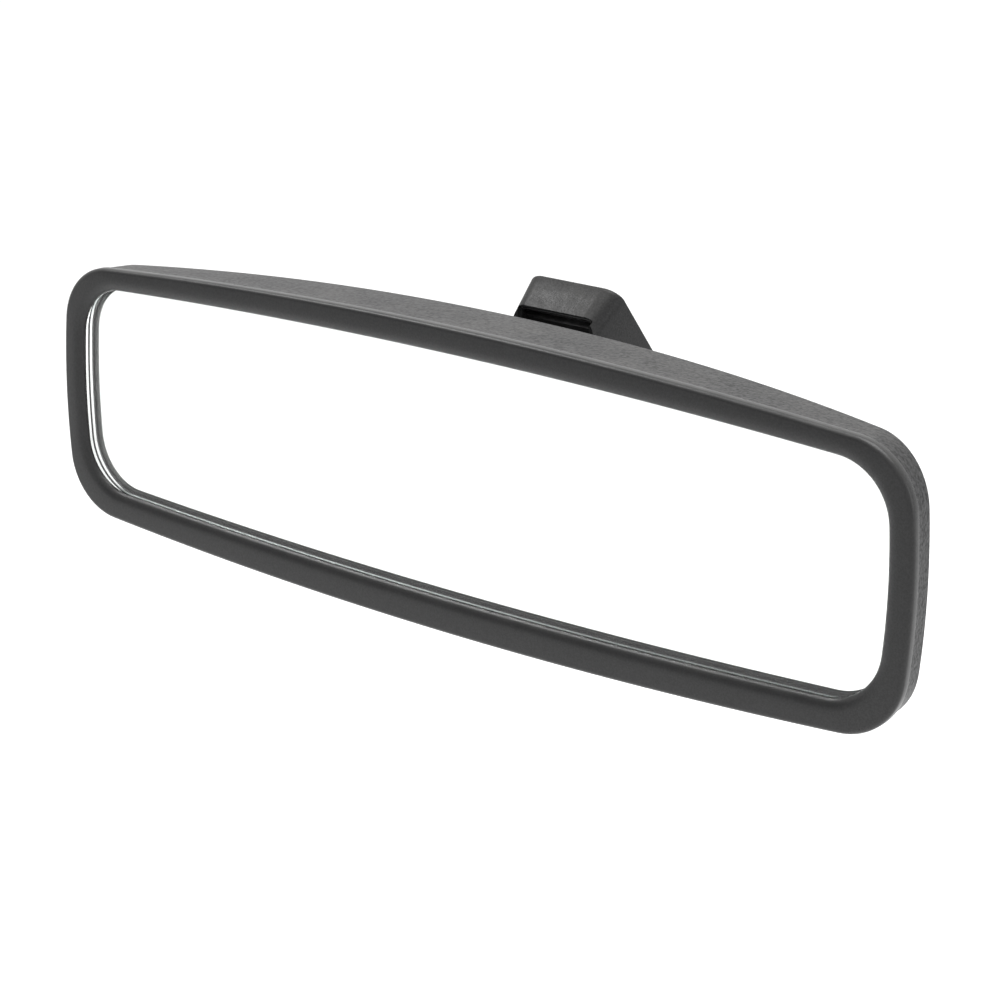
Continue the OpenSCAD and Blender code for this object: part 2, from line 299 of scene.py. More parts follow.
def put(made, material, body, slot, *nodes):
    """Gives a piece its material and its body, and hides the nodes that it stands for; the slot is not used."""
    made.data.materials.clear()
    made.data.materials.append(material)
    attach(made, body)
    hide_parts(*nodes)


def effect(name, inputs, outputs):
    """An empty shader group with named float or vector inputs and float outputs."""
    tree = bpy.data.node_groups.new(name, "ShaderNodeTree")
    for key, value in inputs.items():
        kind = "NodeSocketVector" if isinstance(value, tuple) else "NodeSocketFloat"
        tree.interface.new_socket(key, in_out="INPUT", socket_type=kind).default_value = value
    for key in outputs:
        tree.interface.new_socket(key, in_out="OUTPUT", socket_type="NodeSocketFloat")
    given = tree.nodes.new("NodeGroupInput").outputs
    wanted = tree.nodes.new("NodeGroupOutput").inputs
    return tree, given, wanted


def scaled(tree, value, low, high):
    """Maps a 0 to 1 value to the range from low to high."""
    return node(tree, "ShaderNodeMapRange",
                {"Value": value, "To Min": low, "To Max": high}).outputs["Result"]


def mottled(tree, scale, detail, roughness=0.5):
    """A noise fixed to the piece, from 0 to 1."""
    spot = node(tree, "ShaderNodeTexCoord").outputs["Object"]
    return node(tree, "ShaderNodeTexNoise", {"Vector": spot, "Scale": scale, "Detail": detail,
                "Roughness": roughness}).outputs["Fac"]


# Lay of a machined or rolled surface: fine streaks across the direction of the cut
lay, given, wanted = effect("machining lay", {"Stretch": (30.0, 3000.0, 30.0), "Blotches": 90.0},
                            ["Height", "Streaks", "Tarnish"])
spot = node(lay, "ShaderNodeTexCoord").outputs["Object"]
drawn = node(lay, "ShaderNodeVectorMath", {0: spot, 1: given["Stretch"]}, operation="MULTIPLY")
streaks = node(lay, "ShaderNodeTexNoise",
               {"Vector": drawn.outputs["Vector"], "Scale": 1.0, "Detail": 3.0, "Roughness": 0.6})
blotches = node(lay, "ShaderNodeTexNoise",
                {"Vector": spot, "Scale": given["Blotches"], "Detail": 4.0, "Roughness": 0.55})
lay.links.new(streaks.outputs["Fac"], wanted["Height"])
lay.links.new(streaks.outputs["Fac"], wanted["Streaks"])
lay.links.new(blotches.outputs["Fac"], wanted["Tarnish"])

# Proud edges of a piece, not its hollows: wear, and on metals also a painted highlight
EDGE_BEND = 0.51
wear, given, wanted = effect("edge wear and painted highlight", {"Spread": 0.04, "Patches": 400.0}, ["Mask"])
bend = node(wear, "ShaderNodeNewGeometry").outputs["Pointiness"]
top = node(wear, "ShaderNodeMath", {0: EDGE_BEND, 1: given["Spread"]}, operation="ADD")
proud = node(wear, "ShaderNodeMapRange",
             {"Value": bend, "From Min": EDGE_BEND, "From Max": top.outputs["Value"]})
broken = node(wear, "ShaderNodeMath", {0: proud.outputs["Result"],
              1: mottled(wear, given["Patches"], 3.0)}, operation="MULTIPLY")
wear.links.new(broken.outputs["Value"], wanted["Mask"])


def metal(name, colour, dull, roughness, stretch, bump, worn=None):
    """A metal with its machining lay, tarnish blotches and edges lightened by wear and a painted highlight."""
    made, tree, shader = blank(name)
    marks = node(tree, "ShaderNodeGroup", node_tree=lay)
    marks.inputs["Stretch"].default_value = stretch
    edges = node(tree, "ShaderNodeGroup", node_tree=wear)
    tone = node(tree, "ShaderNodeMix", {"Factor": marks.outputs["Tarnish"],
                6: (*colour, 1), 7: (*dull, 1)}, data_type="RGBA")
    # The lighter colour on proud edges is partly wear and partly a painted highlight
    worn_and_highlit = node(tree, "ShaderNodeMix", {"Factor": edges.outputs["Mask"],
                  6: tone.outputs[2], 7: (*(worn or colour), 1)}, data_type="RGBA")
    tree.links.new(worn_and_highlit.outputs[2], shader.inputs["Base Color"])
    shader.inputs["Metallic"].default_value = 1.0
    tree.links.new(scaled(tree, marks.outputs["Streaks"], roughness * 0.75, roughness * 1.3),
                   shader.inputs["Roughness"])
    raised = node(tree, "ShaderNodeBump",
                  {"Height": marks.outputs["Height"], "Strength": 1.0, "Distance": bump})
    tree.links.new(raised.outputs["Normal"], shader.inputs["Normal"])
    return made


# The last colour of each metal lightens its proud edges: wear and a painted highlight
nickel = metal("nickel plated turned steel", (0.50, 0.49, 0.47), (0.36, 0.35, 0.34), 0.24,
               (25.0, 3600.0, 25.0), 0.000006, (0.62, 0.61, 0.6))

neck_start = math.sqrt(BALL_R ** 2 - NECK_R ** 2)
ball_arc = [(BALL_R * math.sin(t), -BALL_R * math.cos(t))
            for t in [math.radians(a) for a in range(0, 148, 3)]]
stud_profile = ball_arc + [
    (p.x, p.y) for p in filleted([(NECK_R + 0.12, neck_start - 0.07), (NECK_R, neck_start + 0.6),
                                  (WAIST_R, WAIST_AT), (NECK_R, COLLAR_FROM - 0.8),
                                  (5.3, COLLAR_FROM + 0.3)], [0.8, 3, 1.2])]
stud = joined(
    "ball_stud_turned",
    lathe("ball", stud_profile, at_ball),
    piece("collar", hexagon(COLLAR_FLATS, 0.7, 0, COLLAR_FROM, COLLAR_TO), at_ball, sharp=25),
    piece("thread", thread(SHANK_R, COLLAR_TO - 0.5, SHANK_TO, THREAD_PITCH, 0.45), at_ball,
          sharp=80))
put(stud, nickel, "foot", "turned_steel", "ball_stud")


# ---- Foot body
# The core of the foot, moulded in black glass-filled nylon. Its arm takes the stud, its
# sloping bed carries the channel, and a deep pocket at the rear gives access to the nut.

pad_axis = Vector(frame["record"]["mounts"][0]["axis"])
RAKE = math.atan2(pad_axis.y, pad_axis.z)
on_pad = Matrix.Rotation(-RAKE, 4, "X")
body_low, body_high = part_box("foot_body")
ARM_R = 9.5
ARM_FROM, ARM_TO, PAST_ARM = 19.0, 41.1, 60
DRAFT = 0.0083
NUT_SEAT = 33.0
NUT_POCKET_R = 6.4
BED_DEPTH = 9.2
PAD_DOWN = 17.0
FIXING = (5.5, 11.0)
PILOT_R, PILOT_DEPTH = 1.25, 7.0
CLAMP_BORE_R, INSERT_R, INSERT_LEN = 2.8, 3.6, 6.0


def pad_point(t, n):
    """A point (y, z) of the side view from its place down and out of the windscreen face."""
    return (t * math.cos(RAKE) + n * math.sin(RAKE), n * math.cos(RAKE) - t * math.sin(RAKE))


def side_prism(name, outline, width):
    """A plate across the mirror with a side view of (y, z) points."""
    rings = [[(x, y, z) for y, z in outline] for x in (-width / 2, width / 2)]
    return piece(name, rings, Matrix.Identity(4), sharp=20)


def drafted(made):
    """Narrows a piece of the foot the further it stands from the windscreen, for the mould."""
    for v in made.data.vertices:
        out = (v.co.y * math.sin(RAKE) + v.co.z * math.cos(RAKE)) / MM
        v.co.x *= 1 + DRAFT * out
    return made


def carved(base, cutters, operation="DIFFERENCE"):
    """The base solid with the cutters taken away, or added."""
    for cutter in cutters:
        step = base.modifiers.new("carve", "BOOLEAN")
        step.operation = operation
        step.solver = "EXACT"
        step.object = cutter
        settle(base)
        bpy.data.objects.remove(cutter)
    return base


def settle(made):
    """Applies the modifiers of a piece to its mesh."""
    graph = bpy.context.evaluated_depsgraph_get()
    mesh = bpy.data.meshes.new_from_object(made.evaluated_get(graph))
    made.modifiers.clear()
    made.data = mesh


def eased(made, width, segments=3, angle=30):
    """Rounds the edges of a carved piece, as a mould or a tumbler does."""
    made.data.shade_smooth()
    bevel = made.modifiers.new("eased edges", "BEVEL")
    bevel.width = width * MM
    bevel.segments = segments
    bevel.limit_method = "ANGLE"
    bevel.angle_limit = math.radians(angle)
    bevel.harden_normals = True
    settle(made)
    return made


def rod(r, h0, h1, place, steps=64):
    """A plain cylinder along the local Z axis of place, used to carve with."""
    return piece("rod", [circle(r, h0, steps), circle(r, h1, steps)], place)


# Grain of a moulded surface: fine cells broken by a softer unevenness, and dust where it lies
grain, given, wanted = effect("moulded grain", {"Cells": 2200.0, "Unevenness": 60.0},
                              ["Height", "Tone", "Dust", "Pits"])
spot = node(grain, "ShaderNodeTexCoord").outputs["Object"]
cells = node(grain, "ShaderNodeTexVoronoi",
             {"Vector": spot, "Scale": given["Cells"], "Smoothness": 0.6}, feature="SMOOTH_F1")
soft = node(grain, "ShaderNodeTexNoise",
            {"Vector": spot, "Scale": given["Cells"], "Detail": 2.0, "Roughness": 0.6})
broad = node(grain, "ShaderNodeMath", {0: given["Cells"], 1: 0.4}, operation="MULTIPLY")
coarse = node(grain, "ShaderNodeTexNoise",
              {"Vector": spot, "Scale": broad.outputs["Value"], "Detail": 3.0, "Roughness": 0.7})
height = node(grain, "ShaderNodeMath", {0: cells.outputs["Distance"], 1: soft.outputs["Fac"],
              2: coarse.outputs["Fac"]}, operation="MULTIPLY_ADD")
uneven = node(grain, "ShaderNodeTexNoise",
              {"Vector": spot, "Scale": given["Unevenness"], "Detail": 8.0, "Roughness": 0.75})
facing = node(grain, "ShaderNodeSeparateXYZ",
              {"Vector": node(grain, "ShaderNodeNewGeometry").outputs["Normal"]})
upward = node(grain, "ShaderNodeMapRange",
              {"Value": facing.outputs["Z"], "From Min": 0.35, "From Max": 1.0})
specks = node(grain, "ShaderNodeMapRange", {"Value": uneven.outputs["Fac"], "From Min": 0.35,
              "From Max": 0.75})
dust = node(grain, "ShaderNodeMath",
            {0: upward.outputs["Result"], 1: specks.outputs["Result"]}, operation="MULTIPLY")
grain.links.new(height.outputs["Value"], wanted["Height"])
grain.links.new(uneven.outputs["Fac"], wanted["Tone"])
pits = node(grain, "ShaderNodeMapRange",
            {"Value": soft.outputs["Fac"], "From Min": 0.36, "From Max": 0.64})
grain.links.new(dust.outputs["Value"], wanted["Dust"])
grain.links.new(pits.outputs["Result"], wanted["Pits"])


def moulded(name, dark, light, roughness, cells, bump, worn=0.25, specular=0.5, pitted=0.0):
    """A moulded plastic with grain, slight colour drift, polished edges and a trace of dust.

    The pits of its grain shine less than its peaks by the fraction pitted.
    """
    made, tree, shader = blank(name)
    skin = node(tree, "ShaderNodeGroup", node_tree=grain)
    skin.inputs["Cells"].default_value = cells
    edges = node(tree, "ShaderNodeGroup", node_tree=wear)
    tone = node(tree, "ShaderNodeMix", {"Factor": skin.outputs["Tone"],
                6: (*dark, 1), 7: (*light, 1)}, data_type="RGBA")
    thin = node(tree, "ShaderNodeMath", {0: skin.outputs["Dust"], 1: 0.10}, operation="MULTIPLY")
    dusty = node(tree, "ShaderNodeMix", {"Factor": thin.outputs["Value"],
                 6: tone.outputs[2], 7: (0.30, 0.29, 0.27, 1)}, data_type="RGBA")
    tree.links.new(dusty.outputs[2], shader.inputs["Base Color"])
    polished = node(tree, "ShaderNodeMath", {0: edges.outputs["Mask"], 1: worn},
                    operation="MULTIPLY")
    sheen = scaled(tree, skin.outputs["Tone"], roughness * 0.9, roughness * 1.12)
    smooth = node(tree, "ShaderNodeMath", {0: sheen, 1: polished.outputs["Value"]},
                  operation="SUBTRACT", use_clamp=True)
    tree.links.new(smooth.outputs["Value"], shader.inputs["Roughness"])
    raised = node(tree, "ShaderNodeBump",
                  {"Height": skin.outputs["Height"], "Strength": 1.0, "Distance": bump})
    tree.links.new(raised.outputs["Normal"], shader.inputs["Normal"])
    tree.links.new(scaled(tree, skin.outputs["Pits"], specular * (1 - pitted),
                          specular * (1 + pitted)), shader.inputs["Specular IOR Level"])
    return made


nylon = moulded("black glass-filled nylon", (0.006, 0.006, 0.006), (0.011, 0.011, 0.011), 0.60,
                1500.0, 0.00005, specular=0.25)

body_width = (body_high.x - body_low.x) / MM
front_y = -14.0
arm_top_z = ball_centre.z / MM + 2.0
bed_front = (front_y, (-BED_DEPTH - front_y * math.sin(RAKE)) / math.cos(RAKE))
arm_end_y = ball_centre.y / MM + ARM_TO
foot_core = side_prism("foot_body_moulded", [
    bed_front, (front_y, arm_top_z), (arm_end_y, arm_top_z), pad_point(PAD_DOWN, -BED_DEPTH)],
    body_width)
drafted(foot_core)
carved(foot_core, [rod(ARM_R, ARM_FROM, ARM_TO, at_ball, 96)], "UNION")
bed = on_pad @ Matrix.Translation((0, 0, -BED_DEPTH * MM))
screw_places = [on_pad @ Matrix.Translation((x * FIXING[0] * MM, FIXING[1] * MM, -BED_DEPTH * MM))
                for x in (-1, 1)]
carved(foot_core, [rod(SHANK_R + 0.05, 0, PAST_ARM, at_ball, 48),
                   rod(NUT_POCKET_R, NUT_SEAT, PAST_ARM, at_ball, 64),
                   rod(CLAMP_BORE_R, -40, 5, bed, 48), rod(INSERT_R, -INSERT_LEN, 5, bed, 48)]
       + [rod(PILOT_R, -PILOT_DEPTH, 3, place, 32) for place in screw_places])
eased(foot_core, 0.45)
put(foot_core, nylon, "foot", "foot_nylon", "foot_body")


# ---- Washer and nut
# A stamped washer and a cold-formed M6 nut, both bright zinc plated, draw the stud up tight
# from inside the pocket at the rear of the arm.

WASHER_T = 1.2
zinc = metal("bright zinc plate", (0.66, 0.67, 0.68), (0.50, 0.50, 0.47), 0.22,
             (500.0, 500.0, 500.0), 0.000006, (0.72, 0.72, 0.72))

washer_profile = filleted([(3.2, 0.6), (3.2, 0), (6, 0), (6, WASHER_T), (3.2, WASHER_T),
                           (3.2, 0.6)], [0.15, 0.3, 0.3, 0.15], 3)[:-1]
washer = lathe("stud_washer_stamped", [(p.x, p.y + NUT_SEAT) for p in washer_profile],
               at_ball, loop=True, steps=72)
put(washer, zinc, "foot", "zinc_plated_steel", "stud_washer")

nut_from = NUT_SEAT + WASHER_T
nut = piece("stud_nut_formed", hexagon(10.0, 0.75, SHANK_R + 0.02, nut_from, nut_from + 5.0),
            at_ball, loop=True, sharp=25)
put(nut, zinc, "foot", "zinc_plated_steel", "stud_nut")


# ---- Brass insert and clamp screw
# A knurled brass bush is pressed into the bed of the body, and a blackened grub screw with a
# hexagon socket runs in it. The screw bears on the windscreen button and locks the foot.

brass = metal("turned brass", (0.72, 0.50, 0.20), (0.52, 0.36, 0.15), 0.28,
              (60.0, 2500.0, 60.0), 0.000006)
black_steel = metal("black oxide steel", (0.050, 0.050, 0.054), (0.028, 0.028, 0.030), 0.38,
                    (400.0, 400.0, 400.0), 0.00001, (0.22, 0.22, 0.22))

KNURLS = 30
GRUB_R, GRUB_LEN = 2.5, 8.0


def knurled(h, depth, twist, steps=240):
    """A ring with slanting teeth cut into the bush."""
    ring = []
    for k in range(steps):
        t = math.tau * k / steps
        r = INSERT_R - depth * (0.5 + 0.5 * math.cos(KNURLS * t + twist))
        ring.append((r * math.cos(t), r * math.sin(t), h))
    return ring


bands = [(0.0, 0.5), (0.35, 0.35), (0.5, 0.3), (2.5, 0.3), (2.7, 0.7), (3.3, 0.7), (3.5, 0.3),
         (5.5, 0.3), (5.65, 0.35), (6.0, 0.5)]
bush_rings = [circle(GRUB_R + 0.02, -INSERT_LEN, 240)]
bush_rings += [knurled(h - INSERT_LEN, depth, h * (1.5 if h < 3 else -1.5)) for h, depth in bands]
bush_rings += [circle(GRUB_R + 0.02, 0, 240)]
bush = piece("clamp_insert_knurled", bush_rings, bed, loop=True, sharp=60)
put(bush, brass, "foot", "insert_brass", "clamp_insert")

grub_tip = BED_DEPTH - 7.25
grub = piece("clamp_screw_rolled",
             thread(GRUB_R, grub_tip - GRUB_LEN, grub_tip, 0.8, 0.35, 48, 8), bed, sharp=80)
socket = piece("socket", [[(p[0], p[1], grub_tip - GRUB_LEN + h) for p in
                           circle(1.45, 0, 6)] for h in (-1, 3)], bed)
carved(grub, [socket])
put(grub, black_steel, "foot", "blackened_steel", "clamp_screw")


# ---- Button channel
# A die-cast channel, coated black, with two inturned lips and a closed upper end. It slides
# down over the button glued to the windscreen, and two countersunk screws hold it to the bed.

CHANNEL_W, SLOT_W, MOUTH_W = 21.0, 17.2, 13.2
LIP_T, SLOT_D = 1.2, 6.0
CHANNEL_TOP, SLOT_TOP = -11.5, -10.0
CHANNEL_BORE_R, SCREW_HOLE_R = 2.6, 1.5

casting = metal("black coated die-cast zinc", (0.022, 0.022, 0.023), (0.012, 0.012, 0.013), 0.50,
                (700.0, 700.0, 700.0), 0.00003, (0.10, 0.10, 0.10))


def pad_block(x, t, n):
    """A block in the windscreen face's own directions, from ranges across, down and out."""
    rings = [[(x[i], t[j], h) for i, j in ((0, 0), (1, 0), (1, 1), (0, 1))] for h in n]
    return piece("block", rings, on_pad, sharp=20)


channel = pad_block((-CHANNEL_W / 2, CHANNEL_W / 2), (CHANNEL_TOP, PAD_DOWN), (-BED_DEPTH, 0))
channel.name = "button_channel_cast"
open_end = PAD_DOWN + 5
carved(channel, [
    pad_block((-SLOT_W / 2, SLOT_W / 2), (SLOT_TOP, open_end), (-LIP_T - SLOT_D, -LIP_T)),
    pad_block((-MOUTH_W / 2, MOUTH_W / 2), (SLOT_TOP, open_end), (-LIP_T - 1, 3)),
    rod(CHANNEL_BORE_R, -2, 4, bed, 48)])
eased(channel, 0.25, 2)
carved(channel, [rod(SCREW_HOLE_R, -2, 5, place, 32) for place in screw_places])
sinks = [lathe("sink", [(1.3, 0.4), (3.0, 2.1), (3.0, 4)], place, steps=48)
         for place in screw_places]
carved(channel, sinks)
put(channel, casting, "foot", "cast_channel", "button_channel")


# ---- Channel screws and clamp plate screws
# Cold-headed tapping screws, zinc plated, with a cross recess. The channel has two with flat
# heads let into its floor; the clamp plate inside the head has four with pan heads.

def tapping_screw(name, place, head, length):
    """A tapping screw whose head is a profile of (radius, height), cut with a cross."""
    top = max(h for _, h in head)
    shank_top = min(h for _, h in head) + 0.3
    shaft = piece("shaft", thread(1.2, shank_top - length, shank_top, 1.1, 0.22, 32, 6), place,
                  sharp=80)
    cap = lathe("cap", head, place, steps=48)
    for w, d in ((2.9, 0.62), (0.62, 2.9)):
        wings = [[(x * w * s / 2, y * d * s / 2, h) for x, y in corners]
                 for h, s in ((top - 1.1, 0.55), (top + 0.3, 1.0))]
        carved(cap, [piece("wings", wings, place)])
    return joined(name, shaft, cap)


flat_head = [(0.0, 0.5), (1.2, 0.5), (2.55, 1.8), (2.6, 1.86), (2.55, 1.9), (0.0, 1.9)]
pan_head = [(p.x, p.y) for p in filleted([(0, 0), (2.7, 0), (2.7, 1.75), (0, 1.8)], [0.15, 0.9])]

set_in_channel = joined("channel_screws_headed", *[
    tapping_screw("screw", place, flat_head, 7.2) for place in screw_places])
put(set_in_channel, zinc, "foot", "zinc_plated_steel", "channel_screws")

PLATE_HOLE = (17.0, 12.0)
plate_front = -4.2
in_plate = joined("clamp_plate_screws_headed", *[
    tapping_screw("screw", at_ball @ Matrix.Translation((x * PLATE_HOLE[0] * MM,
                  z * PLATE_HOLE[1] * MM, plate_front * MM)) @ Matrix.Rotation(math.pi, 4, "X"),
                  pan_head, 6.4)
    for x in (-1, 1) for z in (-1, 1)])
put(in_plate, zinc, "head", "zinc_plated_steel", "clamp_plate_screws")


# ---- Button spring
# A strip of spring steel bent to a right angle sits in the channel's closed end. It takes up
# the play between the button and the end wall.

STRIP_T, STRIP_W = 0.5, 8.0
spring_steel = metal("rolled spring steel", (0.40, 0.41, 0.43), (0.28, 0.28, 0.30), 0.30,
                     (3000.0, 40.0, 40.0), 0.000006)

floor_n = -LIP_T - SLOT_D
bent = filleted([(SLOT_TOP + 4, floor_n), (SLOT_TOP, floor_n), (SLOT_TOP, floor_n + 5)], [1.0])
inner = filleted([(SLOT_TOP + STRIP_T, floor_n + 5), (SLOT_TOP + STRIP_T, floor_n + STRIP_T),
                  (SLOT_TOP + 4, floor_n + STRIP_T)], [0.5])
strip_view = [pad_point(p.x, p.y) for p in bent + inner]
strip = side_prism("button_spring_bent", strip_view, STRIP_W)
put(strip, spring_steel, "foot", "spring_steel", "button_spring")


# ---- Foot cover
# A hood moulded in fine-grained black plastic: an end wall square to the windscreen and two
# cheeks, with well rounded corners between. It snaps over the body and hides the channel.

FOOT_W, COVER_T, FRONT_T = 26.0, 1.6, 1.8
PAD_UP, FRONT_DEPTH = 15.6, 9.4
CHEEK_FRONT_Y, CHEEK_LOW_Z = -17.6, -12.6
APEX_R, CORNER_ROUND, RIM_R, CHEEK_R = 1.1, 4.2, 0.6, 0.6
RIM_N, SHOULDER_Z = -0.3, 5.0
CUT_PAST, CUT_ABOVE = 60, 10

hood_plastic = moulded("fine-grained black plastic", (0.008, 0.008, 0.0083),
                       (0.014, 0.014, 0.0143), 0.48, 2400.0, 0.00003, specular=0.18,
                       pitted=0.25)


def rounded_off(x, half, r):
    """How far an edge of radius r has turned in at x, for a wall whose side is at half."""
    over = abs(x) - (half - r)
    return r - math.sqrt(max(0.0, r * r - over * over)) if over > 0 else 0.0


def hood_view(x):
    """The hood's side view where it is cut at x, its edges rounding in towards both cheeks."""
    half = FOOT_W / 2
    top = rounded_off(x, half, CORNER_ROUND) - PAD_UP
    rim = RIM_N - rounded_off(x, half, RIM_R)
    front = CHEEK_FRONT_Y + rounded_off(x, half, CHEEK_R)
    low = rounded_off(x, half, CHEEK_R) - FRONT_DEPTH
    apex = filleted([pad_point(PAD_DOWN, rim), pad_point(top, rim), pad_point(top, low)],
                    [APEX_R], 5)
    flat = APEX_R + 0.1
    apex[1:-1] = [Vector(pad_point(top + flat, rim))] + apex[1:-1] + [
        Vector(pad_point(top, rim - flat)), Vector(pad_point(top, low + 0.1))]
    shoulder = min(SHOULDER_Z, (front * math.cos(RAKE) - top) / math.sin(RAKE))
    return [(p.x, p.y) for p in apex] + [
        (front, shoulder), (front, CHEEK_LOW_Z), pad_point(PAD_DOWN, -BED_DEPTH)]


def across_hood(name, half, radii, view):
    """A drafted solid through side views taken closer together where its corners turn."""
    steps = sorted({round(half - r * (1 - math.sin(math.radians(a))), 4)
                    for r in radii for a in range(0, 91, 10)})
    stations = [-x for x in reversed(steps)] + steps
    return drafted(piece(name, [[(x, y, z) for y, z in view(x)] for x in stations],
                         Matrix.Identity(4), sharp=25))


INSIDE_W, INSIDE_R = FOOT_W / 2 - COVER_T, CORNER_ROUND - COVER_T


def hollow_view(x):
    """The side view of the hood's inside where it is cut at x."""
    wall = rounded_off(x, INSIDE_W, INSIDE_R) + FRONT_T - PAD_UP
    return [pad_point(wall, CUT_ABOVE), pad_point(wall, -CUT_PAST),
            pad_point(CUT_PAST, -CUT_PAST), pad_point(CUT_PAST, CUT_ABOVE)]


hood = across_hood("foot_cover_moulded", FOOT_W / 2, (CORNER_ROUND, RIM_R), hood_view)
hollow = across_hood("hollow", INSIDE_W, (INSIDE_R,), hollow_view)
inside_front = FRONT_T - PAD_UP + INSIDE_R
opening = drafted(side_prism("opening", [
    pad_point(inside_front, -FRONT_DEPTH), pad_point(-2 * PAD_UP, -FRONT_DEPTH),
    pad_point(-2 * PAD_UP, -CUT_PAST), pad_point(inside_front, -CUT_PAST)], 2 * INSIDE_W))
carved(hood, [hollow, opening])
put(hood, hood_plastic, "foot", "cover_plastic", "foot_cover")


# ---- Ball seats
# Two half cups moulded in natural acetal, one before and one behind the ball. The socket's
# squeeze on them gives the joint its firm drag.

SEAT_IN, SEAT_OUT = 8.05, 9.6

acetal = moulded("natural acetal", (0.74, 0.72, 0.66), (0.82, 0.80, 0.74), 0.36, 900.0, 0.00001,
                 0.1)
acetal.node_tree.nodes["Principled BSDF"].inputs["Subsurface Weight"].default_value = 0.15
acetal.node_tree.nodes["Principled BSDF"].inputs["Subsurface Radius"].default_value = (
    0.002, 0.0018, 0.0014)


def cup(name, start, end):
    """A zone of a hollow sphere between two angles from the local Z axis, in degrees."""
    steps = 14
    angles = [math.radians(start + (end - start) * i / steps) for i in range(steps + 1)]
    outer = [(SEAT_OUT * math.sin(t), SEAT_OUT * math.cos(t)) for t in angles]
    inner = [(SEAT_IN * math.sin(t), SEAT_IN * math.cos(t)) for t in reversed(angles)]
    return lathe(name, outer + inner, at_ball, loop=True)


rear_seat = cup("rear_ball_seat_moulded", 52.2, 86.0)
put(rear_seat, acetal, "rear_seat", "natural_acetal", "rear_ball_seat")
front_seat = cup("front_ball_seat_moulded", 106.0, 179.8)
put(front_seat, acetal, "front_seat", "natural_acetal", "front_ball_seat")


# ---- Rear housing
# One deep moulding with a fine grain, bowed in plan and slightly domed. A raised collar at
# the middle of its back is the mouth of the ball socket; ribs inside carry the glass.

HALF_W = (bezel_high.x - bezel_low.x) / 2 / MM
HALF_H = (bezel_high.z - bezel_low.z) / 2 / MM
CORNER_R, LONG_BOW, END_BOW = 15.4, 5.1, 3.4
SEAM_Y = 2.8
WALL = 1.8
RIM_INSET, BACK_INSET = 0.2, 0.8
DEPTH_END, DEPTH_MIDDLE, DEPTH_POWER, DOME = 8.3, 20.4, 2.24, 2.5
EDGE_R = 0.8
SOCKET_R, MOUTH_R, COLLAR_R = 9.7, 7.85, 14.0
at_head = Matrix.Translation(head_front)
BALL_Y = (ball_centre.y - head_front.y) / MM
COLLAR_Y = 24.0
BOSS_R = 3.2
RIB_HALF_T, RIB_HALF_H, RIB_SUNK = 0.8, 22, 0.6
FOAM_PLACES = (-85, -45, 45, 85)
plate_back = BALL_Y - 3.0
rib_front = (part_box("foam_strips")[1].y - head_front.y) / MM

grained_plastic = moulded("dark grained plastic", (0.013, 0.013, 0.0135),
                          (0.022, 0.022, 0.0225), 0.46, 1250.0, 0.00011, specular=0.26,
                          pitted=0.6)


def arc_radius(half_chord, rise):
    return (half_chord ** 2 + rise ** 2) / (2 * rise)


def arc_sided(a, b, r, long_rise, end_rise, fine=4):
    """A rounded rectangle of half sizes a and b whose four sides are shallow arcs."""
    long_r, end_r = arc_radius(a, long_rise), arc_radius(b, end_rise)
    top, end = Vector((0, b - long_r)), Vector((a - end_r, 0))
    r1, r2, gap = long_r - r, end_r - r, end - top
    d = gap.length
    u = (r1 ** 2 - r2 ** 2 + d ** 2) / (2 * d)
    v = math.sqrt(r1 ** 2 - u ** 2)
    e = gap / d
    corner = top + e * u + Vector((e.y, -e.x)) * v
    if corner.x < 0 or corner.y < 0:
        corner = top + e * u - Vector((e.y, -e.x)) * v
    t1 = math.atan2(corner.y - top.y, corner.x - top.x)
    t2 = math.atan2(corner.y, corner.x - end.x)
    stretches = [(top, long_r, math.pi / 2, t1, 6 * fine), (corner, r, t1, t2, 5 * fine),
                 (end, end_r, t2, 0.0, 3 * fine)]
    quarter = [centre + radius * Vector((math.cos(t), math.sin(t)))
               for centre, radius, start, stop, count in stretches
               for t in [start + (stop - start) * i / count for i in range(count)]]
    quarter.append(Vector((a, 0)))
    right = quarter + [Vector((p.x, -p.y)) for p in reversed(quarter[:-1])]
    return right + [Vector((-p.x, p.y)) for p in reversed(right[1:-1])]


def head_outline(inset):
    return arc_sided(HALF_W - inset, HALF_H - inset, CORNER_R - inset, LONG_BOW, END_BOW)


def edge_depth(x):
    """Depth of the housing's rear edge along the head."""
    return DEPTH_END + (DEPTH_MIDDLE - DEPTH_END) * (1 - min(1.0, abs(x) / HALF_W) ** DEPTH_POWER)


def back_depth(x, s):
    """Depth of the back, where s runs from 0 in the middle to 1 at the edge."""
    crown = 0.2 + 0.8 * (1 - (x / HALF_W) ** 2)
    return edge_depth(x) + DOME * crown * (1 - s ** 2)


def housing_skin(inwards):
    """Rings of one skin of the shell, from the rim over the edge and in to the collar."""
    rings = []
    radius = EDGE_R - inwards * 0.3
    for f in (0.0, 0.05, 0.5, 1.0):
        inset = RIM_INSET + inwards + (BACK_INSET - RIM_INSET) * f
        ring = []
        for p in head_outline(inset):
            stop = edge_depth(p.x) - inwards - radius
            ring.append((p.x, SEAM_Y + (stop - SEAM_Y) * f, p.y))
        rings.append(ring)
    for i in range(1, 7):
        t = math.radians(15 * i)
        inset = BACK_INSET + inwards + radius * (1 - math.cos(t))
        rings.append([(p.x, edge_depth(p.x) - inwards - radius * (1 - math.sin(t)), p.y)
                      for p in head_outline(inset)])
    rim = head_outline(BACK_INSET + inwards + radius)
    count = 22
    for i in range(1, count + 1):
        f = i / count
        ring = []
        for p in rim:
            away = p.normalized() * (COLLAR_R - inwards)
            q = p.lerp(away, f)
            s = 1 - f
            crown = back_depth(q.x, s) - inwards
            ring.append((q.x, crown if f < 1 else back_depth(0, 0) - inwards, q.y))
        rings.append(ring)
    return rings


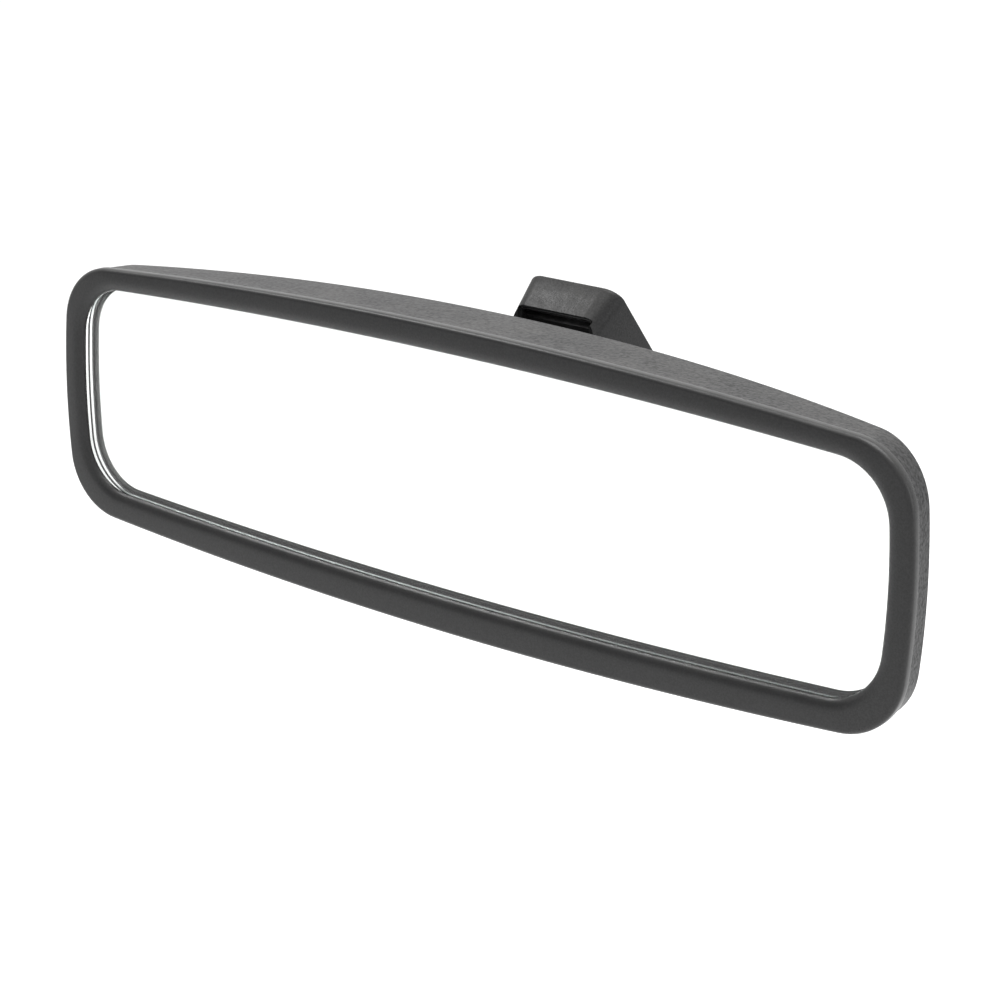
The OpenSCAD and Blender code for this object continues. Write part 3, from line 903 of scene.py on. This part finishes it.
def turned_ring(r, y, like):
    """A circle in the head's plane whose points match those of another ring."""
    return [((p[0] / math.hypot(p[0], p[2])) * r, y, (p[2] / math.hypot(p[0], p[2])) * r)
            for p in like]


outside = housing_skin(0.0)
inside = housing_skin(WALL)
last = outside[-1]
mouth_y = BALL_Y + math.sqrt(SOCKET_R ** 2 - MOUTH_R ** 2)
collar = [(COLLAR_R, COLLAR_Y - 0.5), (COLLAR_R - 0.15, COLLAR_Y - 0.15),
          (COLLAR_R - 0.5, COLLAR_Y), (10.6, COLLAR_Y), (10.2, COLLAR_Y - 0.1),
          (MOUTH_R + 0.2, mouth_y + 0.1), (MOUTH_R, mouth_y)]
reach = math.asin(MOUTH_R / SOCKET_R)
pocket = [(SOCKET_R * math.sin(t), BALL_Y + SOCKET_R * math.cos(t))
          for t in [reach + (math.pi / 2 - reach) * i / 10 for i in range(1, 11)]]
pocket += [(10.2, BALL_Y - 1), (10.2, plate_back), (12.0, plate_back)]
shell = outside + [turned_ring(r, y, last) for r, y in collar + pocket] + inside[::-1]
housing = piece("rear_housing_moulded", shell, at_head, loop=True, sharp=35)
behind_head = at_head @ Matrix.Rotation(math.radians(-90), 4, "X")
bosses = [rod(BOSS_R, plate_back, back_depth(0, 0) - 0.9, behind_head @ Matrix.Translation(
    (x * PLATE_HOLE[0] * MM, z * PLATE_HOLE[1] * MM, 0)), 32) for x in (-1, 1) for z in (-1, 1)]
ribs = [piece("rib", [[(x + dx, y, z) for dx, y in (
            (-RIB_HALF_T, rib_front), (RIB_HALF_T, rib_front),
            (RIB_HALF_T, edge_depth(x) - RIB_SUNK), (-RIB_HALF_T, edge_depth(x) - RIB_SUNK))]
        for z in (-RIB_HALF_H, RIB_HALF_H)], at_head) for x in FOAM_PLACES]
carved(housing, bosses + ribs, "UNION")
put(housing, grained_plastic, "head", "housing_plastic", "rear_housing")


# ---- Ball clamp plate
# A stamping in sprung steel with a dish that presses the front seat on to the ball. Four
# screws pull it down to the housing's bosses.

PLATE_HALF = (22.0, 17.0)
PLATE_T = 1.2


def plate_skin(rise):
    """Rings of one face of the plate, from the rounded rectangle in to the dish's crown."""
    rings = [[(p.x, p.y, -3 - rise) for p in
              arc_sided(PLATE_HALF[0] - f * 4, PLATE_HALF[1] - f * 4, 4.5 - 3 * f, 0.02, 0.02, 2)]
             for f in (0.0, 0.5, 1.0)]
    like = rings[0]
    dish_r = SEAT_OUT + 0.05 + rise
    for a in (72, 66, 60, 50, 40, 30, 20, 10, 1):
        t = math.radians(a)
        rings.append([(x / math.hypot(x, y) * dish_r * math.sin(t),
                       y / math.hypot(x, y) * dish_r * math.sin(t), -dish_r * math.cos(t))
                      for x, y, _ in like])
    return rings


plate = piece("ball_clamp_plate_stamped", plate_skin(PLATE_T) + plate_skin(0.0)[::-1], at_ball,
              loop=True, sharp=50)
carved(plate, [rod(SCREW_HOLE_R, -6, 0, at_ball @ Matrix.Translation(
    (x * PLATE_HOLE[0] * MM, z * PLATE_HOLE[1] * MM, 0)), 32) for x in (-1, 1) for z in (-1, 1)])
put(plate, spring_steel, "head", "spring_steel", "ball_clamp_plate")


# ---- Foam strips
# Four strips of grey open foam, stuck to the housing's ribs and squeezed a little by the
# glass, so that it can't rattle.

foam, tree, shader = blank("grey open foam")
spot = node(tree, "ShaderNodeTexCoord").outputs["Object"]
pores = node(tree, "ShaderNodeTexVoronoi", {"Vector": spot, "Scale": 2600.0})
# The pores are painted darker than the cell walls: painted shade in their hollows
tone = node(tree, "ShaderNodeMix", {"Factor": pores.outputs["Distance"],
            6: (0.05, 0.05, 0.052, 1), 7: (0.19, 0.19, 0.20, 1)}, data_type="RGBA")
pits = node(tree, "ShaderNodeBump", {"Height": pores.outputs["Distance"], "Strength": 1.0,
            "Distance": 0.0003})
tree.links.new(tone.outputs[2], shader.inputs["Base Color"])
tree.links.new(pits.outputs["Normal"], shader.inputs["Normal"])
shader.inputs["Roughness"].default_value = 0.95

foam_low, foam_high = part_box("foam_strips")
STRIP_HALF = (3.0, 20.0)


def foam_strip(x):
    """One strip whose long sides bulge a little under the squeeze."""
    depth = (foam_high.y - foam_low.y) / MM
    rings = []
    for y, inset in ((0, 0.35), (0.2 * depth, 0.1), (0.5 * depth, 0), (0.8 * depth, 0.1),
                     (depth, 0.35)):
        outline = arc_sided(STRIP_HALF[0] - inset, STRIP_HALF[1] - inset, 0.8, 0.02, 0.1, 2)
        rings.append([(x + p.x, foam_low.y / MM + y, head_front.z / MM + p.y) for p in outline])
    return piece("strip", rings, Matrix.Identity(4), sharp=60)


strips = joined("foam_strips_cut", *[foam_strip(x) for x in FOAM_PLACES])
put(strips, foam, "head", "grey_foam", "foam_strips")


# ---- Film, silver and glass
# Float glass whose edge is ground, seamed and polished. Its back is silvered, and a black
# film behind the silver holds the splinters if the glass breaks.


def dress(cad_node, material):
    """Gives a node that keeps its own mesh its material."""
    frame["nodes"][cad_node].data.materials.clear()
    frame["nodes"][cad_node].data.materials.append(material)


film, tree, shader = blank("black safety film")
tree.links.new(scaled(tree, mottled(tree, 300.0, 2.0), 0.25, 0.45), shader.inputs["Roughness"])
shader.inputs["Base Color"].default_value = (0.012, 0.012, 0.013, 1)
dress("safety_film", film)

silver, tree, shader = blank("mirror silver")
tree.links.new(scaled(tree, mottled(tree, 25.0, 3.0), 0.0, 0.012), shader.inputs["Roughness"])
shader.inputs["Base Color"].default_value = (0.96, 0.965, 0.96, 1)
shader.inputs["Metallic"].default_value = 1.0
dress("silver_coating", silver)


def clear(name, tint, noise, smoothest, roughest):
    """Clear glass whose polish varies a little across the piece."""
    made, tree, shader = blank(name)
    tree.links.new(scaled(tree, mottled(tree, *noise), smoothest, roughest),
                   shader.inputs["Roughness"])
    shader.inputs["Base Color"].default_value = (*tint, 1)
    shader.inputs["Transmission Weight"].default_value = 1.0
    shader.inputs["IOR"].default_value = 1.52
    return made


float_glass = clear("float glass", (0.985, 0.995, 0.99), (60.0, 5.0, 0.6), 0.0, 0.01)
polished_edge = clear("polished glass edge", (0.56, 0.60, 0.59), (900.0, 3.0), 0.02, 0.16)

FACE_END, FACE_TOP, FACE_BOTTOM, WINDOW_R = 6.0, 6.2, 8.0, 13.0
WINDOW_LONG_BOW, WINDOW_END_BOW = 3.4, 2.4
glass_low, glass_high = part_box("mirror_glass")
GLASS_Y = (glass_low.y - head_front.y) / MM
GLASS_T = (glass_high.y - glass_low.y) / MM - 0.02
GLASS_LAP, SEAM = 0.9, 0.3


def window_outline(outset):
    """The edge of the bezel's lip, moved outwards; it sits a little above the middle."""
    half = HALF_H - (FACE_TOP + FACE_BOTTOM) / 2
    rise = Vector((0, (FACE_BOTTOM - FACE_TOP) / 2))
    return [p + rise for p in arc_sided(HALF_W - FACE_END + outset, half + outset,
                                        WINDOW_R + outset, WINDOW_LONG_BOW, WINDOW_END_BOW)]


glass = piece("mirror_glass_ground", [
    [(p.x, y, p.y) for p in window_outline(lap)] for lap, y in (
        (GLASS_LAP - SEAM, GLASS_Y), (GLASS_LAP, GLASS_Y + SEAM),
        (GLASS_LAP, GLASS_Y + GLASS_T - SEAM), (GLASS_LAP - SEAM, GLASS_Y + GLASS_T))],
    at_head, sharp=20)
put(glass, float_glass, "head", "clear_glass", "mirror_glass")
glass.data.materials.append(polished_edge)
for face in glass.data.polygons:
    face.material_index = 0 if abs(face.normal.y) > 0.95 else 1


# ---- Front bezel
# A narrow frame in satin dark plastic, welded to the housing's rim. Its face is crowned, the
# outer edge rolls back to the seam and the lip is turned in over the glass.

LIP_W, ROLL_R = 2.5, 1.1
POCKET_LAP, TONGUE_LAP, TONGUE_Y = 1.0, 2.2, 6.0

satin_plastic = moulded("satin dark plastic", (0.008, 0.008, 0.0083), (0.014, 0.014, 0.0143),
                        0.36, 2600.0, 0.00002, specular=0.36, pitted=0.12)


def flat_ring(outline, y):
    return [(p.x, y, p.y) for p in outline]


def across(f, y):
    """A ring part of the way from the rolled outer edge to the lip."""
    pairs = zip(head_outline(ROLL_R), window_outline(LIP_W))
    return [(a.x + (b.x - a.x) * f, y, a.y + (b.y - a.y) * f) for a, b in pairs]


rolled = [flat_ring(head_outline(inset), y) for inset, y in (
    (0.25, SEAM_Y), (0.08, SEAM_Y - 0.06), (0.0, SEAM_Y - 0.25))]
rolled += [flat_ring(head_outline(ROLL_R * (1 - math.cos(t))), 0.15 + ROLL_R * (1 - math.sin(t)))
           for t in [math.radians(9 * i) for i in range(0, 11)]]
face = [across(f, 0.15 * (1 - f) ** 2) for f in (0.2, 0.4, 0.6, 0.8)]
lip_depth = GLASS_Y - 0.05
lip = [flat_ring(window_outline(LIP_W * (1 - math.sin(t))), lip_depth * (1 - math.cos(t)))
       for t in [math.radians(9 * i) for i in range(0, 11)]]
under = [flat_ring(window_outline(lap), y) for lap, y in (
    (POCKET_LAP, lip_depth), (POCKET_LAP, TONGUE_Y), (TONGUE_LAP, TONGUE_Y),
    (TONGUE_LAP, SEAM_Y))]
bezel = piece("front_bezel_moulded", rolled + face + lip + under, at_head, loop=True, sharp=45)
put(bezel, satin_plastic, "head", "bezel_plastic", "front_bezel")
